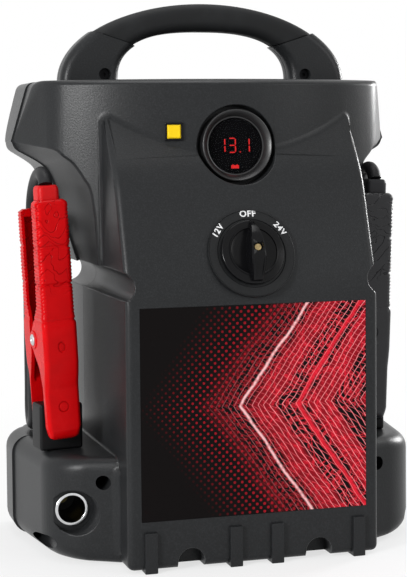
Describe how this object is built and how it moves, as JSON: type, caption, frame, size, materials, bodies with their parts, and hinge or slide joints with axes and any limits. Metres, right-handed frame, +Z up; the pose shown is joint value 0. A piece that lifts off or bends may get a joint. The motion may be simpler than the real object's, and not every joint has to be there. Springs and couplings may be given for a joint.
{
  "type": "jump starter pack",
  "caption": "Portable 12/24 V jump starter case with carry handle, voltage gauge, test button, rotary selector, 12 V socket and parked battery clamps on coiled cables.",
  "frame": {"origin": "middle of the bounding box's bottom face, on the floor under the pack", "axes": "+X to the right of the control side, +Y to the rear, +Z up; the control panel faces -Y"},
  "size_m": [0.329, 0.2218, 0.4355],
  "materials": {
    "case_plastic": "fine texture, charcoal",
    "zinc_steel": "zinc plated",
    "label_film": "satin printed film",
    "grip_rubber": "soft matt",
    "gauge_plastic": "satin black",
    "gauge_glass": "dark tinted window",
    "black_gloss_plastic": "semi gloss black",
    "yellow_plastic": "semi gloss yellow",
    "dial_plastic": "satin charcoal",
    "brass": "turned",
    "switch_resin": "moulded resin",
    "socket_chrome": "bright plated",
    "battery_plastic": "plain black",
    "battery_plates": "dull grey",
    "lead_rubber": "red insulation",
    "red_plastic": "semi gloss, moulded pattern",
    "black_clamp_plastic": "semi gloss, moulded pattern",
    "spring_steel": "bright wire",
    "jaw_steel": "plated, toothed",
    "rest_plastic": "plain black",
    "gland_rubber": "matt",
    "cable_rubber": "satin sheath"
  },
  "bodies": {
    "case": {"front_shell": "case_plastic", "rear_shell": "case_plastic", "shell_screws": "zinc_steel", "label_plate": "label_film", "handle_front": "case_plastic", "handle_rear": "case_plastic", "handle_grip": "grip_rubber", "gauge_bezel": "gauge_plastic", "gauge_lens": "gauge_glass", "gauge_display": "gauge_plastic", "gauge_can": "gauge_plastic", "gauge_clamp_nut": "gauge_plastic", "button_frame": "black_gloss_plastic", "button_switch": "black_gloss_plastic", "dial_plate": "dial_plastic", "selector_switch": "switch_resin", "selector_nut": "zinc_steel", "socket_barrel": "socket_chrome", "socket_insulator": "black_gloss_plastic", "socket_contact": "brass", "socket_nut": "black_gloss_plastic", "battery_tray": "zinc_steel", "front_battery_case": "battery_plastic", "front_battery_lid": "battery_plastic", "front_battery_cells": "battery_plates", "rear_battery_case": "battery_plastic", "rear_battery_lid": "battery_plastic", "rear_battery_cells": "battery_plates", "battery_posts": "brass", "battery_leads": "lead_rubber", "red_rest": "rest_plastic", "red_front_lever": "red_plastic", "red_pivot_pin": "zinc_steel", "red_spring": "spring_steel", "red_front_jaw": "jaw_steel", "red_sleeve": "red_plastic", "red_gland": "gland_rubber", "red_cable": "cable_rubber", "black_rest": "rest_plastic", "black_front_lever": "black_clamp_plastic", "black_pivot_pin": "zinc_steel", "black_spring": "spring_steel", "black_front_jaw": "jaw_steel", "black_sleeve": "black_clamp_plastic", "black_gland": "gland_rubber", "black_cable": "cable_rubber"},
    "selector": {"selector_knob": "black_gloss_plastic", "knob_screw": "brass", "selector_shaft": "zinc_steel"},
    "button": {"test_button": "yellow_plastic"},
    "red_rear": {"red_rear_lever": "red_plastic", "red_rear_jaw": "jaw_steel"},
    "black_rear": {"black_rear_lever": "black_clamp_plastic", "black_rear_jaw": "jaw_steel"}
  },
  "joints": [
    {"name": "selector_turn", "type": "hinge", "parent": "case", "child": "selector", "pos_m": [0, -0.08378, 0.237], "axis": [0, -0.9397, 0.342], "range_deg": [-50, 50]},
    {"name": "test_button_press", "type": "slide", "parent": "case", "child": "button", "axis": [0.2269, 0.9739, 0], "range_m": [0, 0.002], "stiffness_N_per_m": 500, "springref_m": -0.002},
    {"name": "red_clamp_squeeze", "type": "hinge", "parent": "case", "child": "red_rear", "pos_m": [-0.14151, -0.00972, 0.16988], "axis": [0.9889, 0.139, 0.0523], "range_deg": [0, 12], "stiffness_Nm_per_rad": 10, "springref_deg": -17.19},
    {"name": "black_clamp_squeeze", "type": "hinge", "parent": "case", "child": "black_rear", "pos_m": [0.12351, -0.00946, 0.16995], "axis": [0.9919, -0.1218, -0.0349], "range_deg": [0, 12], "stiffness_Nm_per_rad": 10, "springref_deg": -17.19}
  ]
}
